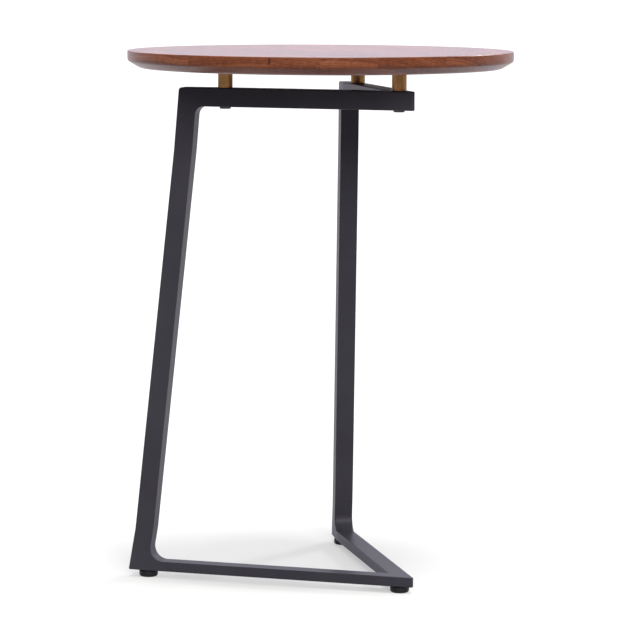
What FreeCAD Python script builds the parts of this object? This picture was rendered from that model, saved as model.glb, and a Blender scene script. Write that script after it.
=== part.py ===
import FreeCAD, Part
import math
import os

# C-shaped side table: a round walnut top on three brass spacers, carried by a welded steel frame.
# Two C-shaped sides share a mitred tip at the front, above and below, and open out to two legs at the
# back. Three screw-in glides carry the base.
# Millimetres. +Z up, the tips point to -Y, and the frame is mirrored about the plane x = 0. The origin
# is on the floor under the middle of the top.

Vector = FreeCAD.Vector
UP = Vector(0, 0, 1)
ORIGIN = Vector(0, 0, 0)
OUT_DIR = "parts"
PAST = 1.0               # how far a cutting tool reaches past the face that it leaves

# Tabletop
table_height = 620.0
top_radius = 225.0
top_thickness = 21.0
top_band = 11.5          # upright edge, down from the top face
bevel_width = 14.5       # under-bevel, inwards from the rim
bevel_drop = 8.5
runout_width = 17.0      # shallow blend from the bevel to the flat underside
top_edge_ease = 0.7
band_round = 5.0         # corner between edge and bevel
bevel_round = 15.0
board_angle = 45.0       # boards run this many degrees from +X
board_joints = (-148.0, -73.0, -10.0, 46.6, 140.0)  # glue lines, across the boards from the middle

# Frame bars
bar_width = 22.0
top_arm_height = 22.0
base_arm_height = 11.5
leg_depth = 22.0
edge_round = 1.2
top_tip_round = 3.1
base_tip_round = 2.8
top_tip_crown = 4.0      # upper corner of each tip, ground round
base_tip_crown = 2.5

# Plan of the frame: each V opens backwards from its tip, where the middle lines of its arms cross
top_tip_y = -137.4
top_half_angle = 28.9
base_tip_y = -141.2
base_half_angle = 30.0
leg_half_angle = 33.9    # the legs and their elbows are turned out a little more than the arms
top_reach = 267.7        # along the arm, from the crossing to the outer corner of the top elbow
base_reach = 331.9       # the same for the foot elbow

# Elbows, which the straight bars are welded to
top_elbow_arm = 33.0     # length along the arm
top_elbow_drop = 72.0
top_elbow_lean = 4.6
foot_elbow_arm = 46.0
foot_elbow_rise = 50.0
foot_elbow_lean = 9.6
top_inner_round = 10.5
foot_inner_round = 16.0
top_outer_round = 4.0
foot_outer_round = 2.0
heel_lift = 1.0          # the foot elbow's underside rises to its heel
heel_length = 33.0

# Spacers, bolts and inserts
spacer_length = 21.0
spacer_radius = 8.5
spacer_chamfer = 0.4
front_spacer_inset = 4.6     # behind the crossing of the top arms
side_spacer_inset = 21.4     # in front of the weld between top arm and elbow
side_spacer_offset = 2.0     # outside the middle line of the top arm
bolt_radius = 3.0            # M6
bolt_head_radius = 6.5
bolt_head_height = 2.3
bolt_head_round = 0.8
bolt_socket_flats = 4.0
bolt_socket_depth = 1.2
insert_radius = 5.0
insert_length = 13.0
insert_flange_radius = 6.5
insert_flange_height = 1.0
clearance_hole = 0.3         # radial, bolt in arm and spacer
thread_gap = 0.05            # radial, any thread in its hole
insert_end_room = 1.5        # hole beyond the bolt and the insert

# Glides
glide_height = 8.0
glide_gap = 0.3              # pad to frame
glide_radius = 11.0
glide_bevel = 1.0
glide_sole_round = 2.9
front_glide_inset = 2.0      # behind the crossing of the base arms
side_glide_inset = 24.3      # behind the weld between base arm and elbow
stud_radius = 3.0            # M6
stud_engagement = 7.5
stud_hole_room = 0.8
stud_disc_radius = 6.0
stud_disc_height = 1.6
stud_disc_floor = 2.4        # pad left under the disc
running_gap = 0.08           # stud disc in the pad

# Heights
top_face_z = table_height
top_under_z = top_face_z - top_thickness
band_z = top_face_z - top_band
bevel_z = band_z - bevel_drop
top_arm_top_z = top_under_z - spacer_length
top_arm_z = top_arm_top_z - top_arm_height
top_kink_z = top_arm_top_z - top_elbow_drop
base_arm_z = glide_height
base_arm_top_z = base_arm_z + base_arm_height
foot_kink_z = base_arm_z + foot_elbow_rise
stud_top_z = base_arm_z + stud_engagement
pad_top_z = glide_height - glide_gap

# Holes
bolt_hole_radius = bolt_radius + clearance_hole
stud_hole_radius = stud_radius + thread_gap
stud_hole_top_z = stud_top_z + stud_hole_room

# Welds and places along the arms, measured from the crossing
top_weld_reach = top_reach - top_elbow_arm
base_weld_reach = base_reach - foot_elbow_arm
side_spacer_reach = top_weld_reach - side_spacer_inset


def direction(half_angle):
    """Horizontal unit vector along a right-hand arm."""
    angle = math.radians(half_angle)
    return Vector(math.sin(angle), math.cos(angle), 0)


def across(along):
    """Horizontal unit vector square to an arm, towards its outer side."""
    return Vector(along.y, -along.x, 0)


def arm_point(tip_y, half_angle, reach, z):
    """Point over the middle line of a right-hand arm."""
    return Vector(0, tip_y, z) + direction(half_angle) * reach


def mirrored(shape):
    return shape.mirror(ORIGIN, Vector(1, 0, 0))


def cylinder(point, radius, bottom, top):
    return Part.makeCylinder(radius, top - bottom, Vector(point.x, point.y, bottom))


def circles(shape, radius):
    """The circular edges of one radius."""
    found = [edge for edge in shape.Edges if isinstance(edge.Curve, Part.Circle)]
    return [edge for edge in found if abs(edge.Curve.Radius - radius) < 1e-3]


def three_places(front_y, right):
    """Places in plan by the front tip and on both sides."""
    left = Vector(-right.x, right.y, 0)
    return {"front": Vector(0, front_y, 0), "left": left, "right": Vector(right.x, right.y, 0)}


# Middle plane of the right-hand leg and its elbows. It runs through the welds of both arms, so it leans
# a little to the side. In it, u is measured along the side from the base weld, and z is the height.
side_along = direction(leg_half_angle)
side_across = across(side_along)
top_arm_middle_z = top_arm_z + top_arm_height / 2
base_arm_middle_z = base_arm_z + base_arm_height / 2
top_weld = arm_point(top_tip_y, top_half_angle, top_weld_reach, top_arm_middle_z)
base_weld = arm_point(base_tip_y, base_half_angle, base_weld_reach, base_arm_middle_z)
weld_step = top_weld - base_weld
side_lean = weld_step.dot(side_across) / weld_step.z
side_up = UP + side_across * side_lean
side_normal = (side_across - UP * side_lean).normalize()
top_weld_u = weld_step.dot(side_along)

# Outer face of the leg in that plane
top_lean = math.tan(math.radians(top_elbow_lean))
foot_lean = math.tan(math.radians(foot_elbow_lean))
top_corner_u = top_weld_u + top_elbow_arm
top_kink_u = top_corner_u + top_elbow_drop * top_lean
foot_corner_u = foot_elbow_arm
foot_kink_u = foot_corner_u - foot_elbow_rise * foot_lean

# Places of the spacers and glides in plan
spacer_offset = across(direction(top_half_angle)) * side_spacer_offset
right_spacer_point = arm_point(top_tip_y, top_half_angle, side_spacer_reach, 0) + spacer_offset
spacer_places = three_places(top_tip_y + front_spacer_inset, right_spacer_point)
glide_places = three_places(base_tip_y + front_glide_inset, base_weld + side_along * side_glide_inset)


def side_point(u, z):
    """Point in the middle plane of the right-hand leg."""
    return base_weld + side_along * u + side_up * (z - base_weld.z)


def rounded_wire(points, radii):
    """Closed wire of straight lines, with an arc at each corner that has a radius."""
    arcs = []
    ends = []
    for index, point in enumerate(points):
        back = (points[index - 1] - point).normalize()
        onward = (points[(index + 1) % len(points)] - point).normalize()
        if radii[index] == 0:
            ends.append((point, point))
            continue
        half_angle = back.getAngle(onward) / 2
        setback = radii[index] / math.tan(half_angle)
        crown = radii[index] / math.sin(half_angle) - radii[index]
        start = point + back * setback
        finish = point + onward * setback
        arcs.append(Part.Arc(start, point + (back + onward).normalize() * crown, finish).toShape())
        ends.append((start, finish))
    lines = [Part.makeLine(ends[index - 1][1], ends[index][0]) for index in range(len(ends))]
    return Part.Wire(Part.__sortEdges__(arcs + lines))


def side_solid(corners, width=bar_width):
    """Solid about the leg's middle plane. Each corner of its outline is u, z and a radius."""
    half = side_normal * (width / 2)
    points = [side_point(u, z) - half for u, z, radius in corners]
    wire = rounded_wire(points, [radius for u, z, radius in corners])
    return Part.Face(wire).extrude(half * 2)


def on_plane(edge, point, normal):
    return all(abs((sample - point).dot(normal)) < 1e-3 for sample in edge.discretize(3))


def eased(bar, broad_normal, weld_planes):
    """Round the long edges beside both broad faces, and leave the edges in the weld planes square."""
    broad = [face for face in bar.Faces if abs(face.normalAt(0, 0).dot(broad_normal)) > 0.99]
    edges = [edge for face in broad for edge in face.Edges]
    long_edges = [edge for edge in edges if not any(on_plane(edge, *plane) for plane in weld_planes)]
    return bar.makeFillet(edge_round, long_edges)


def tip_relief(tip, crown, top):
    """What is ground off the upper corner of a tip."""
    middle = Vector(-PAST, tip.y + crown, top - crown)
    reach = bar_width + PAST
    block = Part.makeBox(reach, crown + PAST, crown + PAST, Vector(-PAST, tip.y - PAST, middle.z))
    return block.cut(Part.makeCylinder(crown, reach, middle, Vector(1, 0, 0)))


def arm(tip_y, tip_round, tip_crown, half_angle, weld, bottom, height):
    """Right half of a V: mitred on the plane x = 0, with a rounded tip, and cut along its elbow's weld."""
    outward = across(direction(half_angle))
    half_width = bar_width / 2
    slope = math.sin(math.radians(half_angle))
    round_centre = Vector(0, tip_y - (half_width - tip_round) / slope, bottom)
    tip = round_centre - Vector(0, tip_round, 0)
    round_end = round_centre + outward * tip_round
    round_middle = round_centre + (outward - Vector(0, 1, 0)).normalize() * tip_round
    crotch = Vector(0, tip_y + half_width / slope, bottom)
    weld_foot = Vector(weld.x, weld.y, bottom)
    weld_half = side_across * (half_width / side_across.dot(outward))
    edges = [
        Part.Arc(tip, round_middle, round_end).toShape(),
        Part.makeLine(round_end, weld_foot + weld_half),
        Part.makeLine(weld_foot + weld_half, weld_foot - weld_half),
        Part.makeLine(weld_foot - weld_half, crotch),
        Part.makeLine(crotch, tip),
    ]
    bar = Part.Face(Part.Wire(edges)).extrude(UP * height)
    bar = eased(bar, UP, [(tip, Vector(1, 0, 0)), (weld_foot, side_along)])
    return bar.cut(tip_relief(tip, tip_crown, bottom + height))


def top_arm():
    shape = (top_tip_y, top_tip_round, top_tip_crown, top_half_angle)
    bar = arm(*shape, top_weld, top_arm_z, top_arm_height)
    for name in ("front", "right"):
        hole = cylinder(spacer_places[name], bolt_hole_radius, top_arm_z - PAST, top_arm_top_z + PAST)
        bar = bar.cut(hole)
    return bar


def stud_hole(name):
    return cylinder(glide_places[name], stud_hole_radius, base_arm_z - PAST, stud_hole_top_z)


def base_arm():
    shape = (base_tip_y, base_tip_round, base_tip_crown, base_half_angle)
    bar = arm(*shape, base_weld, base_arm_z, base_arm_height)
    return bar.cut(stud_hole("front"))


def top_elbow():
    inner_u = top_corner_u + top_arm_height * top_lean - leg_depth
    solid = side_solid([
        (top_weld_u, top_arm_top_z, 0),
        (top_corner_u, top_arm_top_z, top_outer_round),
        (top_kink_u, top_kink_z, 0),
        (top_kink_u - leg_depth, top_kink_z, 0),
        (inner_u, top_arm_z, top_inner_round),
        (top_weld_u, top_arm_z, 0),
    ])
    return eased(solid, side_normal, [(top_weld, side_along), (side_point(0, top_kink_z), side_up)])


def leg():
    solid = side_solid([
        (top_kink_u, top_kink_z, 0),
        (foot_kink_u, foot_kink_z, 0),
        (foot_kink_u - leg_depth, foot_kink_z, 0),
        (top_kink_u - leg_depth, top_kink_z, 0),
    ])
    kink_planes = [(side_point(0, z), side_up) for z in (top_kink_z, foot_kink_z)]
    return eased(solid, side_normal, kink_planes)


def heel_relief():
    """Thin wedge under the foot elbow, deepest at the heel."""
    heel_start = foot_corner_u - heel_length
    past_heel = heel_length + bar_width
    return side_solid([
        (heel_start, base_arm_z, 0),
        (heel_start + past_heel, base_arm_z + heel_lift * past_heel / heel_length, 0),
        (heel_start + past_heel, base_arm_z - PAST, 0),
        (heel_start, base_arm_z - PAST, 0),
    ], 2 * bar_width)


def foot_elbow():
    inner_u = foot_corner_u - base_arm_height * foot_lean - leg_depth
    solid = side_solid([
        (0, base_arm_top_z, 0),
        (inner_u, base_arm_top_z, foot_inner_round),
        (foot_kink_u - leg_depth, foot_kink_z, 0),
        (foot_kink_u, foot_kink_z, 0),
        (foot_corner_u, base_arm_z, foot_outer_round),
        (0, base_arm_z, 0),
    ])
    solid = eased(solid, side_normal, [(base_weld, side_along), (side_point(0, foot_kink_z), side_up)])
    return solid.cut(heel_relief()).cut(stud_hole("right"))


def tabletop():
    """The whole round top, before it is divided into its boards."""
    bevel_foot_radius = top_radius - bevel_width
    points = [
        Vector(0, 0, top_under_z),
        Vector(bevel_foot_radius - runout_width, 0, top_under_z),
        Vector(bevel_foot_radius, 0, bevel_z),
        Vector(top_radius, 0, band_z),
        Vector(top_radius, 0, top_face_z - top_edge_ease),
        Vector(top_radius - top_edge_ease, 0, top_face_z),
        Vector(0, 0, top_face_z),
    ]
    outline = rounded_wire(points, [0, 0, bevel_round, band_round, 0, 0, 0])
    return Part.Face(outline).revolve(ORIGIN, UP, 360)


def insert_hole(point):
    """Blind hole in the underside for a threaded insert and its flange."""
    below = top_under_z - PAST
    top_z = top_under_z + insert_length + insert_end_room
    hole = cylinder(point, insert_radius + thread_gap, below, top_z)
    flange_radius = insert_flange_radius + thread_gap
    return hole.fuse(cylinder(point, flange_radius, below, top_under_z + insert_flange_height))


def boards():
    """The top's boards, each cut from the round top between two glue lines."""
    top = tabletop()
    for point in spacer_places.values():
        top = top.cut(insert_hole(point))
    edge = top_radius + PAST
    lines = [-edge] + list(board_joints) + [edge]
    pieces = []
    for low, high in zip(lines[:-1], lines[1:]):
        corner = Vector(-edge, low, top_under_z - PAST)
        strip = Part.makeBox(2 * edge, high - low, top_thickness + 2 * PAST, corner)
        strip.rotate(ORIGIN, UP, board_angle)
        pieces.append(top.common(strip))
    return pieces


def spacer(point):
    body = cylinder(point, spacer_radius, top_arm_top_z, top_under_z)
    body = body.makeChamfer(spacer_chamfer, circles(body, spacer_radius))
    return body.cut(cylinder(point, bolt_hole_radius, top_arm_top_z - PAST, top_under_z + PAST))


def hexagon_prism(point, flats, bottom, height):
    corner_radius = flats / math.sqrt(3)
    corners = []
    for step in range(6):
        angle = math.radians(60 * step)
        corners.append(Vector(corner_radius * math.cos(angle), corner_radius * math.sin(angle), bottom))
    prism = Part.Face(Part.makePolygon(corners + corners[:1])).extrude(UP * height)
    return prism.translated(point)


def bolt(point):
    """Low-head furniture bolt, up through the arm and the spacer into the insert."""
    head_z = top_arm_z - bolt_head_height
    head = cylinder(point, bolt_head_radius, head_z, top_arm_z)
    lower_rim = min(circles(head, bolt_head_radius), key=lambda edge: edge.CenterOfMass.z)
    head = head.makeFillet(bolt_head_round, [lower_rim])
    shank = cylinder(point, bolt_radius, top_arm_z, top_under_z + insert_length)
    socket = hexagon_prism(point, bolt_socket_flats, head_z, bolt_socket_depth)
    return head.fuse(shank).removeSplitter().cut(socket)


def insert(point):
    """Threaded insert, flush with the underside of the top."""
    sleeve = cylinder(point, insert_radius, top_under_z, top_under_z + insert_length)
    flange = cylinder(point, insert_flange_radius, top_under_z, top_under_z + insert_flange_height)
    bore = cylinder(point, bolt_radius + thread_gap, top_under_z - PAST, top_under_z + insert_length + PAST)
    return sleeve.fuse(flange).removeSplitter().cut(bore)


def glide_stud(point):
    """Threaded stud, with the disc that the pad is moulded round."""
    shank = cylinder(point, stud_radius, stud_disc_floor, stud_top_z)
    disc = cylinder(point, stud_disc_radius, stud_disc_floor, stud_disc_floor + stud_disc_height)
    return shank.fuse(disc).removeSplitter()


def glide_pad(point):
    """Round plastic pad with a rounded lower edge and a bevelled rim."""
    points = [
        ORIGIN,
        Vector(glide_radius, 0, 0),
        Vector(glide_radius, 0, pad_top_z - glide_bevel),
        Vector(glide_radius - glide_bevel, 0, pad_top_z),
        Vector(0, 0, pad_top_z),
    ]
    outline = rounded_wire(points, [0, glide_sole_round, 0, 0, 0])
    pad = Part.Face(outline).revolve(ORIGIN, UP, 360).translated(point)
    pocket_top_z = stud_disc_floor + stud_disc_height + running_gap
    pocket = cylinder(point, stud_disc_radius + running_gap, stud_disc_floor - running_gap, pocket_top_z)
    throat = cylinder(point, stud_radius + running_gap, stud_disc_floor, pad_top_z + PAST)
    return pad.cut(pocket.fuse(throat))


def save(name, shape):
    shape.exportStep(os.path.join(OUT_DIR, name + ".step"))


def save_top():
    for number, piece in enumerate(boards(), start=1):
        save("top_board_%d" % number, piece)
    for name, point in spacer_places.items():
        save(name + "_spacer", spacer(point))
    save("spacer_bolts", Part.makeCompound([bolt(point) for point in spacer_places.values()]))
    save("threaded_inserts", Part.makeCompound([insert(point) for point in spacer_places.values()]))


def save_frame():
    makers = {
        "top_arm": top_arm,
        "top_elbow": top_elbow,
        "leg": leg,
        "foot_elbow": foot_elbow,
        "base_arm": base_arm,
    }
    for name, make in makers.items():
        right = make()
        save("right_" + name, right)
        save("left_" + name, mirrored(right))


def save_glides():
    for name, point in glide_places.items():
        save(name + "_glide_stud", glide_stud(point))
        save(name + "_glide_pad", glide_pad(point))


os.makedirs(OUT_DIR, exist_ok=True)
save_top()
save_frame()
save_glides()
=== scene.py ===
import math
import bpy
from mathutils import Matrix, Vector

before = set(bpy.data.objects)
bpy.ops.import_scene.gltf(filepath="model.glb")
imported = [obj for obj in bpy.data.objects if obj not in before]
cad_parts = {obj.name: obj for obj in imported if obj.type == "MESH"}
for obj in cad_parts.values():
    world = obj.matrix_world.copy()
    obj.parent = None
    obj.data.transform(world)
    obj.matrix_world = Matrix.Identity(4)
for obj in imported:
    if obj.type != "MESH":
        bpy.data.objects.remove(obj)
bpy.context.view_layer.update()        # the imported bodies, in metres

# ---- Round top ----
# Six walnut boards, edge-glued side by side and turned to a disc with a bevelled underside. They all
# run the same way, so the rim shows end grain at its front and back and long grain at its sides. The
# finish is a satin lacquer, which goes glossy at low angles.


def add_node(tree, kind, inputs=None, **settings):
    """A shader node with its settings. Each input is linked to an output, or set to a value."""
    made = tree.nodes.new(kind)
    for name, value in settings.items():
        setattr(made, name, value)
    for name, value in (inputs or {}).items():
        if isinstance(value, bpy.types.NodeSocket):
            tree.links.new(value, made.inputs[name])
        else:
            made.inputs[name].default_value = value
    return made


def math_node(tree, operation, *values):
    return add_node(tree, "ShaderNodeMath", dict(enumerate(values)), operation=operation).outputs["Value"]


def vector_node(tree, operation, *values):
    return add_node(tree, "ShaderNodeVectorMath", dict(enumerate(values)), operation=operation).outputs


def weighted_sum(tree, *parts):
    """The sum of several values, each given with its weight."""
    shares = [math_node(tree, "MULTIPLY", value, weight) for value, weight in parts]
    total = shares[0]
    for share in shares[1:]:
        total = math_node(tree, "ADD", total, share)
    return total


def map_range(tree, value, start, end, low=0.0, high=1.0, **settings):
    """A value that goes from low to high while the given one goes from start to end."""
    inputs = {"Value": value, "From Min": start, "From Max": end, "To Min": low, "To Max": high}
    return add_node(tree, "ShaderNodeMapRange", inputs, **settings).outputs["Result"]


def mix_colours(tree, share, first, second):
    """A blend of two colours. At a share of 1 it is all the second."""
    inputs = {"Factor": share, "A": first, "B": second}
    return add_node(tree, "ShaderNodeMix", inputs, data_type="RGBA").outputs["Result"]


def colour_ramp(tree, value, *stops):
    """Colours along a value, from two or more stops, each given as its place and colour."""
    ramp = add_node(tree, "ShaderNodeValToRGB", {"Fac": value})
    points = ramp.color_ramp.elements
    points[0].position, points[0].color = stops[0]
    points[1].position, points[1].color = stops[-1]
    for place, colour in stops[1:-1]:
        points.new(place).color = colour
    return ramp.outputs["Color"]


def noise(tree, place, scale, detail=2.0, roughness=0.5):
    """Noise at one scale along each axis, given per metre."""
    stretched = vector_node(tree, "MULTIPLY", place, scale)["Vector"]
    inputs = {"Vector": stretched, "Scale": 1.0, "Detail": detail, "Roughness": roughness}
    return add_node(tree, "ShaderNodeTexNoise", inputs).outputs


def new_group(name, inputs, outputs):
    """A shader node group with its sockets: its tree, what it is given and what it puts out."""
    tree = bpy.data.node_groups.new(name, "ShaderNodeTree")
    for socket, kind in inputs.items():
        tree.interface.new_socket(socket, in_out="INPUT", socket_type=kind)
    for socket, kind in outputs.items():
        tree.interface.new_socket(socket, in_out="OUTPUT", socket_type=kind)
    given = tree.nodes.new("NodeGroupInput").outputs
    result = tree.nodes.new("NodeGroupOutput").inputs
    return tree, given, result


def use_group(tree, group, inputs):
    return add_node(tree, "ShaderNodeGroup", inputs, node_tree=group).outputs


def new_material(name, **values):
    """A material with one Principled shader. Its uniform values are set on the shader's own sockets."""
    material = bpy.data.materials.new(name)
    material.use_nodes = True
    tree = material.node_tree
    shader = tree.nodes["Principled BSDF"]
    for socket, value in values.items():
        shader.inputs[socket.replace("_", " ")].default_value = value
    return material, tree, shader


def finish_surface(tree, shader, colour, roughness, relief, strength, depth):
    """Gives a shader its colour, its roughness and a fine relief, whose depth is in metres."""
    bump = add_node(tree, "ShaderNodeBump", {"Height": relief, "Strength": strength, "Distance": depth})
    tree.links.new(colour, shader.inputs["Base Color"])
    tree.links.new(roughness, shader.inputs["Roughness"])
    tree.links.new(bump.outputs["Normal"], shader.inputs["Normal"])


def dress(material, *nodes):
    for name in nodes:
        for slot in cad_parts[name].material_slots:
            slot.material = material


def build_walnut_grain():
    """Growth rings round a pith, dark and light bands, fibres and pores, all along the board's X."""
    # Noise scales, per metre along the board, across it and through it.
    drift_scale = (2.5, 11, 11)
    fibre_scale = (16, 900, 900)
    streak_scale = (5, 210, 210)
    pore_scale = (60, 2300, 2300)
    band_scale = (95, 0.9, 1)            # per metre outwards from the pith, then along the board
    pore_start, pore_full = 0.58, 0.7    # of the pore noise, between no pore and a full one
    ring_wander = (0, 0.016, 0.016)      # metres
    pith_slope = 0.06
    rings_per_metre = 330
    ring_sway = 3.0                      # rings
    ring_sharpness = 3.0
    rim_roughness = 0.29                 # of the lacquer, at the rim and below
    face_roughness = 0.16                # of the lacquer on the upper face, at its glossiest
    fibre_roughness = 0.08               # what the fibres add to that
    face_start, face_full = 0.0199, 0.01999      # heights from the datum, just under the upper face
    dark_line = (0.060, 0.018, 0.009, 1)
    red_brown = (0.195, 0.056, 0.024, 1)
    warm_brown = (0.270, 0.084, 0.036, 1)
    pale_brown = (0.400, 0.140, 0.062, 1)

    tree, given, result = new_group(
        "walnut grain",
        {"Place": "NodeSocketVector", "Pith Depth": "NodeSocketFloat", "Pith Side": "NodeSocketFloat"},
        {"Color": "NodeSocketColor", "Height": "NodeSocketFloat", "Roughness": "NodeSocketFloat"},
    )
    place = given["Place"]
    drift = noise(tree, place, drift_scale, detail=3.0)["Color"]
    centred = vector_node(tree, "SUBTRACT", drift, (0.5, 0.5, 0.5))["Vector"]
    shift = vector_node(tree, "MULTIPLY", centred, ring_wander)["Vector"]
    wandering = vector_node(tree, "ADD", place, shift)["Vector"]
    axes = add_node(tree, "ShaderNodeSeparateXYZ", {"Vector": wandering}).outputs
    sideways = math_node(tree, "SUBTRACT", axes["Y"], given["Pith Side"])
    deep = math_node(tree, "ADD", axes["Z"], given["Pith Depth"])
    deep = math_node(tree, "ADD", deep, math_node(tree, "MULTIPLY", axes["X"], pith_slope))
    square = math_node(tree, "MULTIPLY", sideways, sideways)
    square = math_node(tree, "ADD", square, math_node(tree, "MULTIPLY", deep, deep))
    radius = math_node(tree, "SQRT", square)
    ring_place = add_node(tree, "ShaderNodeCombineXYZ", {"X": radius, "Y": axes["X"]}).outputs["Vector"]
    bands = noise(tree, ring_place, band_scale, detail=3.0, roughness=0.6)["Fac"]
    ring_count = weighted_sum(tree, (radius, rings_per_metre), (bands, ring_sway))
    ring = math_node(tree, "POWER", math_node(tree, "FRACT", ring_count), ring_sharpness)
    fibres = noise(tree, place, fibre_scale, detail=3.0, roughness=0.65)["Fac"]
    streaks = noise(tree, place, streak_scale, roughness=0.6)["Fac"]
    pore = map_range(tree, noise(tree, place, pore_scale, detail=1.0)["Fac"], pore_start, pore_full)
    tone = weighted_sum(tree, (bands, 0.8), (streaks, 0.35), (fibres, 0.25), (ring, -0.16), (pore, -0.12))
    colour = colour_ramp(
        tree, tone, (0.38, dark_line), (0.62, red_brown), (0.78, warm_brown), (0.95, pale_brown)
    )
    height = weighted_sum(tree, (fibres, 0.4), (pore, -1.0))
    level = add_node(tree, "ShaderNodeSeparateXYZ", {"Vector": place}).outputs["Z"]
    on_face = map_range(tree, level, face_start, face_full)
    face = math_node(tree, "MULTIPLY_ADD", fibres, fibre_roughness, face_roughness)
    roughness = add_node(tree, "ShaderNodeMix", {"Factor": on_face, "A": rim_roughness, "B": face})
    tree.links.new(colour, result["Color"])
    tree.links.new(height, result["Height"])
    tree.links.new(roughness.outputs["Result"], result["Roughness"])
    return tree


def filled_joint(tree, place, wood):
    """Wood colour with the dark glue that fills a short gap between boards 4 and 5, at the rim."""
    gap_middle = (-0.2195, 0.0466, 0.6152)
    gap_reach = (0.012, 0.0012, 0.0042)
    glue_start, glue_end = 0.75, 1.1     # shares of the reach between which the glue runs out
    dark_glue = (0.052, 0.020, 0.012, 1)
    offset = vector_node(tree, "SUBTRACT", place, gap_middle)["Vector"]
    share = vector_node(tree, "DIVIDE", offset, gap_reach)["Vector"]
    distance = vector_node(tree, "LENGTH", share)["Value"]
    glue = map_range(tree, distance, glue_start, glue_end, low=1.0, high=0.0)
    return mix_colours(tree, glue, wood, dark_glue)


walnut_grain = build_walnut_grain()
board_turn = math.radians(45)
grain_datum = 0.6                        # the height at which the grain's own Z starts
glued_boards = (4, 5)
# For each board, how deep its pith lies under the datum, how far to the side, and where along a long
# log it was cut.
boards = (
    (0.055, -0.150, 0.0),
    (0.090, -0.075, 0.83),
    (0.048, -0.028, 1.71),
    (0.120, 0.060, 2.42),
    (0.070, 0.098, 3.37),
    (0.060, 0.200, 4.15),
)
for number, (pith_depth, pith_side, cut) in enumerate(boards, start=1):
    walnut, tree, shader = new_material("walnut board %d" % number, Specular_IOR_Level=0.14)
    place = add_node(tree, "ShaderNodeTexCoord").outputs["Object"]
    turn = {"Vector": place, "Rotation": (0, 0, -board_turn)}
    turned = add_node(tree, "ShaderNodeMapping", turn).outputs["Vector"]
    move = {"Vector": turned, "Location": (cut, 0, -grain_datum)}
    moved = add_node(tree, "ShaderNodeMapping", move).outputs["Vector"]
    pith = {"Pith Depth": pith_depth, "Pith Side": pith_side}
    grain = use_group(tree, walnut_grain, {"Place": moved, **pith})
    wood = grain["Color"]
    if number in glued_boards:
        wood = filled_joint(tree, turned, wood)
    finish_surface(tree, shader, wood, grain["Roughness"], grain["Height"], strength=0.12, depth=0.0002)
    dress(walnut, "top_board_%d" % number)

# ---- Steel frame ----
# Two C-shaped sides of 22 mm square bar, with flat bar in the base. They are welded at elbows and tips,
# ground flush and powder-coated in a matte charcoal. The coat has a fine orange peel and is faintly
# cloudy.
deep_charcoal = (0.035, 0.033, 0.040, 1)
pale_charcoal = (0.050, 0.048, 0.057, 1)
coat_tint = (0.92, 0.87, 1.0, 1)
charcoal, tree, shader = new_material(
    "charcoal powder coat", Specular_IOR_Level=0.15, Specular_Tint=coat_tint
)
place = add_node(tree, "ShaderNodeTexCoord").outputs["Object"]
clouds = noise(tree, place, (14, 14, 14), detail=3.0)["Fac"]
grit = noise(tree, place, (900, 900, 900))["Fac"]
orange_peel = noise(tree, place, (420, 420, 420))["Fac"]
shade = weighted_sum(tree, (clouds, 0.6), (grit, 0.4))
coat_colour = colour_ramp(tree, shade, (0.3, deep_charcoal), (0.7, pale_charcoal))
coat_roughness = map_range(tree, grit, start=0.0, end=1.0, low=0.34, high=0.44)
finish_surface(tree, shader, coat_colour, coat_roughness, orange_peel, strength=0.25, depth=0.0002)
for side in ("left", "right"):
    for bar in ("top_arm", "top_elbow", "leg", "foot_elbow", "base_arm"):
        dress(charcoal, side + "_" + bar)

# ---- Brass spacers ----
# Three turned brass collars between the top arms and the walnut. They are left unpolished, so fine
# turning lines run round them and the brass has darkened unevenly.


def build_turning_lines():
    """Fine lines round an upright turned part, and the uneven patina between them."""
    line_share, cloud_share = 0.35, 0.65
    tree, given, result = new_group(
        "turning lines",
        {"Place": "NodeSocketVector", "Lines": "NodeSocketFloat"},
        {"Height": "NodeSocketFloat", "Patina": "NodeSocketFloat"},
    )
    height = add_node(tree, "ShaderNodeSeparateXYZ", {"Vector": given["Place"]}).outputs["Z"]
    level = math_node(tree, "MULTIPLY", height, given["Lines"])
    line_place = add_node(tree, "ShaderNodeCombineXYZ", {"Z": level}).outputs["Vector"]
    lines = noise(tree, line_place, (1, 1, 1), detail=4.0, roughness=0.7)["Fac"]
    clouds = noise(tree, given["Place"], (130, 130, 70), detail=4.0, roughness=0.6)["Fac"]
    patina = weighted_sum(tree, (lines, line_share), (clouds, cloud_share))
    tree.links.new(lines, result["Height"])
    tree.links.new(patina, result["Patina"])
    return tree


turning_lines = build_turning_lines()


def turned_metal(name, dark, light, rough, lines_per_metre, line_depth):
    """A turned metal: its patina runs from a dark to a light colour, and its lines stand out a little."""
    unevenness = 0.08                    # of the roughness, either way
    material, tree, shader = new_material(name, Metallic=1.0)
    place = add_node(tree, "ShaderNodeTexCoord").outputs["Object"]
    surface = use_group(tree, turning_lines, {"Place": place, "Lines": lines_per_metre})
    patina = surface["Patina"]
    colour = colour_ramp(tree, patina, (0.32, dark), (0.68, light))
    dullest, shiniest = rough + unevenness, rough - unevenness
    roughness = map_range(tree, patina, start=0.0, end=1.0, low=dullest, high=shiniest)
    finish_surface(tree, shader, colour, roughness, surface["Height"], strength=0.3, depth=line_depth)
    return material


brass = turned_metal(
    "dark brass",
    dark=(0.17, 0.085, 0.030, 1),
    light=(0.32, 0.17, 0.065, 1),
    rough=0.36,
    lines_per_metre=4000,
    line_depth=0.00003,
)
dress(brass, "front_spacer", "left_spacer", "right_spacer")

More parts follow.
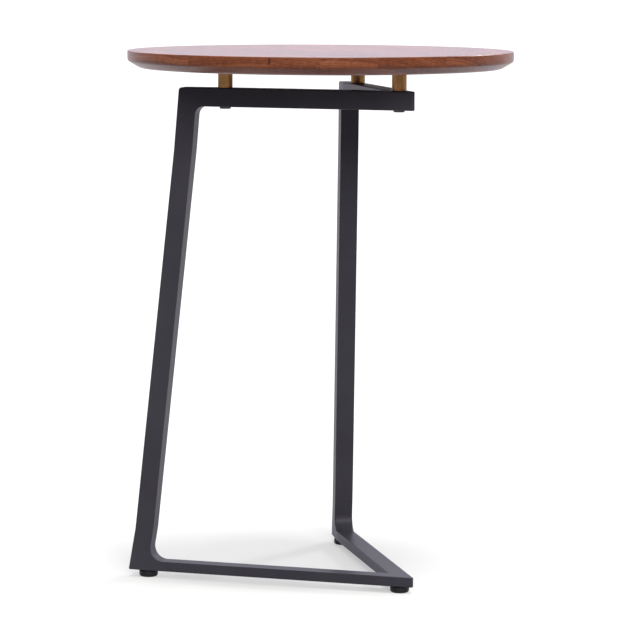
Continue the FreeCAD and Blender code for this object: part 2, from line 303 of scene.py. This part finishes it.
# ---- Bolts and inserts ----
# Low-head furniture bolts with a hexagon socket, blackened, screwed up through arm and spacer into
# zinc-plated threaded inserts in the underside of the top.
black_steel = turned_metal(
    "black oxide steel",
    dark=(0.035, 0.034, 0.033, 1),
    light=(0.075, 0.072, 0.070, 1),
    rough=0.40,
    lines_per_metre=5000,
    line_depth=0.00002,
)
dress(black_steel, "spacer_bolts")
zinc_steel = turned_metal(
    "zinc plated steel",
    dark=(0.42, 0.43, 0.44, 1),
    light=(0.60, 0.61, 0.62, 1),
    rough=0.32,
    lines_per_metre=5000,
    line_depth=0.00002,
)
dress(zinc_steel, "threaded_inserts")

# ---- Glides ----
# Three round pads of black moulded plastic, each on a zinc-plated stud that screws into the base, so
# that turning a pad levels the table.
black_plastic = (0.006, 0.006, 0.006, 1)
scuffed_plastic = (0.014, 0.014, 0.014, 1)
plastic, tree, shader = new_material("black moulded plastic", Specular_IOR_Level=0.22)
place = add_node(tree, "ShaderNodeTexCoord").outputs["Object"]
spots = noise(tree, place, (1800, 1800, 1800))["Fac"]
scuffs = noise(tree, place, (90, 90, 240), detail=3.0)["Fac"]
plastic_colour = colour_ramp(tree, scuffs, (0.35, black_plastic), (0.75, scuffed_plastic))
plastic_roughness = map_range(tree, scuffs, start=0.0, end=1.0, low=0.36, high=0.52)
finish_surface(tree, shader, plastic_colour, plastic_roughness, spots, strength=0.2, depth=0.0001)
for corner in ("front", "left", "right"):
    dress(plastic, corner + "_glide_pad")
    dress(zinc_steel, corner + "_glide_stud")

# ---- Camera ----
# It stands to the left of the front tips, a little above the top, and looks slightly down. Its lens is
# long, so the legs keep nearly their true slopes.
view_turn = math.radians(-42.394)        # from looking along +Y
view_pitch = math.radians(6.619)         # down
view_roll = math.radians(0.240)
camera_spot = (-2.5857, -2.8331, 0.7491)
camera = bpy.data.objects.new("camera", bpy.data.cameras.new("camera"))
bpy.context.scene.collection.objects.link(camera)
camera.data.sensor_width = 36
camera.data.lens = 184.67
camera.data.clip_end = 200
heading = Matrix.Rotation(view_turn, 4, "Z")
tilt = Matrix.Rotation(math.pi / 2 - view_pitch, 4, "X")
roll = Matrix.Rotation(view_roll, 4, "Z")
camera.matrix_world = Matrix.Translation(camera_spot) @ heading @ tilt @ roll
bpy.context.scene.camera = camera

# ---- Floor ----
# A plain pale floor that keeps the soft shadow of the top. Its own glow makes it white for the camera,
# and a little violet in reflections, like the backdrop.
floor_size = 120
unseen_paint = (0.18, 0.18, 0.18, 1)     # for the light that the floor throws back on the table
seen_paint = (0.49, 0.49, 0.47, 1)
seen_glow = 0.44
plain_tint = (1.0, 1.0, 1.0, 1)
reflected_tint = (0.86, 0.80, 1.03, 1)
bpy.ops.object.select_all(action="DESELECT")
bpy.ops.mesh.primitive_plane_add(size=floor_size, location=(0, 0, 0))
floor = bpy.context.object
floor.name = "studio_floor"
floor_material = bpy.data.materials.new("white floor")
floor_material.use_nodes = True
tree = floor_material.node_tree
tree.nodes.clear()
ray = add_node(tree, "ShaderNodeLightPath").outputs
seen = math_node(tree, "MAXIMUM", ray["Is Camera Ray"], ray["Is Glossy Ray"])
seen = math_node(tree, "MAXIMUM", seen, ray["Is Transmission Ray"])
paint = mix_colours(tree, seen, unseen_paint, seen_paint)
matte = add_node(tree, "ShaderNodeBsdfDiffuse", {"Color": paint})
glow_tint = mix_colours(tree, ray["Is Glossy Ray"], plain_tint, reflected_tint)
glow_strength = math_node(tree, "MULTIPLY", seen, seen_glow)
glow = add_node(tree, "ShaderNodeEmission", {"Color": glow_tint, "Strength": glow_strength})
both = add_node(tree, "ShaderNodeAddShader", {0: matte.outputs[0], 1: glow.outputs[0]})
add_node(tree, "ShaderNodeOutputMaterial", {"Surface": both.outputs[0]})
floor.data.materials.append(floor_material)

# ---- Light ----
# A white studio, brightest behind the table. A lamp overhead draws the soft shadow of the top, a wide
# one in front lights the rim and the legs, and one at the back right lights their inner sides.
bright_wall = (1.0, 0.99, 1.15, 1)
dim_wall = (0.16, 0.16, 0.17, 1)
ceiling_colour = (0.35, 0.35, 0.38, 1)
brightest_way = heading @ Vector((0.25, 0.97, 0))
world = bpy.data.worlds.new("studio")
world.use_nodes = True
bpy.context.scene.world = world
tree = world.node_tree
tree.nodes.clear()
direction = add_node(tree, "ShaderNodeTexCoord").outputs["Generated"]
away = vector_node(tree, "DOT_PRODUCT", direction, tuple(brightest_way))["Value"]
backdrop = map_range(tree, away, start=-0.5, end=0.7, interpolation_type="SMOOTHSTEP")
wall = mix_colours(tree, backdrop, dim_wall, bright_wall)
upward = add_node(tree, "ShaderNodeSeparateXYZ", {"Vector": direction}).outputs["Z"]
ceiling = map_range(tree, upward, start=0.35, end=0.85, interpolation_type="SMOOTHSTEP")
room = mix_colours(tree, ceiling, wall, ceiling_colour)
sky = add_node(tree, "ShaderNodeBackground", {"Color": room})
add_node(tree, "ShaderNodeOutputWorld", {"Surface": sky.outputs[0]})


def soft_lamp(name, way, strength, width):
    """A distant lamp, its width in degrees. Its way is given as the camera sees it: right, away, up."""
    lamp = bpy.data.objects.new(name, bpy.data.lights.new(name, "SUN"))
    bpy.context.scene.collection.objects.link(lamp)
    lamp.data.energy = strength
    lamp.data.angle = math.radians(width)
    lamp.matrix_world = (heading @ Vector(way)).to_track_quat("-Z", "Y").to_matrix().to_4x4()


soft_lamp("overhead lamp", way=(-0.09, 0.16, -1.0), strength=2.3, width=22)
soft_lamp("front lamp", way=(-0.1, 0.90, -0.42), strength=2.25, width=28)
soft_lamp("back right lamp", way=(-0.62, -0.70, -0.6), strength=0.8, width=10)

bpy.context.scene.view_settings.view_transform = "Standard"
